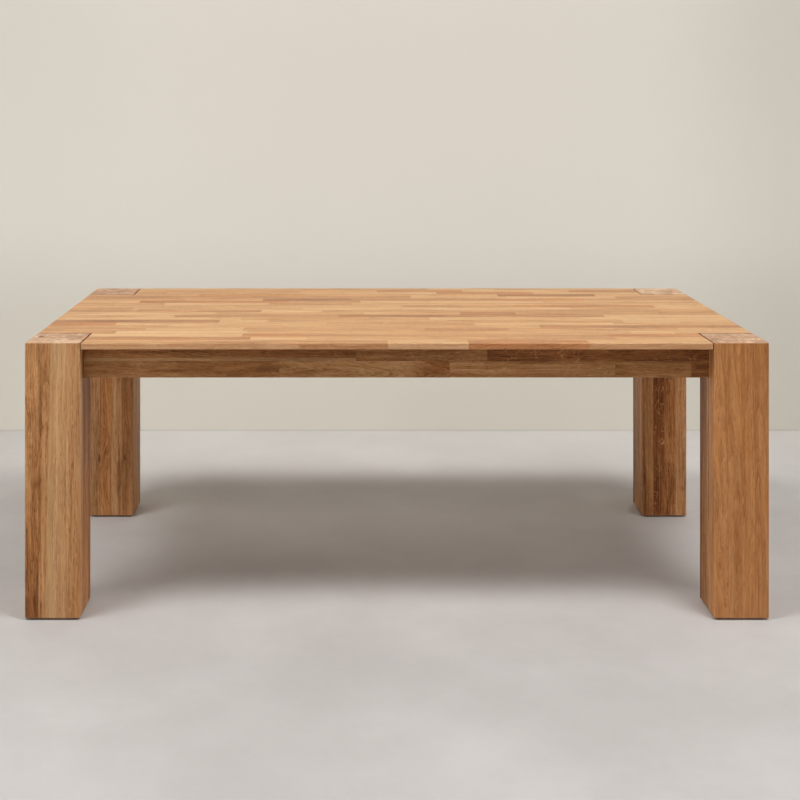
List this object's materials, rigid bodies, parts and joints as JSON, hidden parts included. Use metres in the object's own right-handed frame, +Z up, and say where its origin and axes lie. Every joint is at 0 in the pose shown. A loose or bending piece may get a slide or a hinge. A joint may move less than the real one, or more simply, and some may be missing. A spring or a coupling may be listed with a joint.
{
  "type": "parsons dining table",
  "caption": "Rectangular oak dining table: thin glued top with thick square legs passing up flush through its corners, set-back aprons and corner braces.",
  "frame": {"origin": "on the floor, under the middle of the top", "axes": "+X along the length of the table, +Y across it from front to rear, +Z up"},
  "size_m": [2, 1, 0.745],
  "materials": {
    "oak_top": "oiled oak, edge-glued staves, satin",
    "oak_leg": "oiled oak, glued up from upright staves, satin",
    "oak_apron": "oiled oak, two rows of staves, satin",
    "beech": "plain planed beech, unfinished",
    "zinc_steel": "zinc-plated steel",
    "felt": "dark brown pressed felt"
  },
  "bodies": {
    "root": {"tabletop": "oak_top", "leg_front_left": "oak_leg", "leg_front_right": "oak_leg", "leg_rear_left": "oak_leg", "leg_rear_right": "oak_leg", "foot_pad_front_left": "felt", "foot_pad_front_right": "felt", "foot_pad_rear_left": "felt", "foot_pad_rear_right": "felt", "apron_front": "oak_apron", "apron_rear": "oak_apron", "apron_left": "oak_apron", "apron_right": "oak_apron", "corner_brace_front_left": "beech", "corner_brace_front_right": "beech", "corner_brace_rear_left": "beech", "corner_brace_rear_right": "beech", "cross_rail_left": "beech", "cross_rail_right": "beech", "top_button_front_left": "beech", "top_button_front_middle": "beech", "top_button_front_right": "beech", "top_button_rear_left": "beech", "top_button_rear_middle": "beech", "top_button_rear_right": "beech", "top_button_left_front": "beech", "top_button_left_rear": "beech", "top_button_right_front": "beech", "top_button_right_rear": "beech", "hanger_bolts": "zinc_steel", "brace_washers": "zinc_steel", "brace_nuts": "zinc_steel", "brace_screws": "zinc_steel", "button_screws": "zinc_steel", "rail_screws": "zinc_steel", "apron_dowels": "beech", "rail_dowels": "beech"}
  },
  "joints": []
}
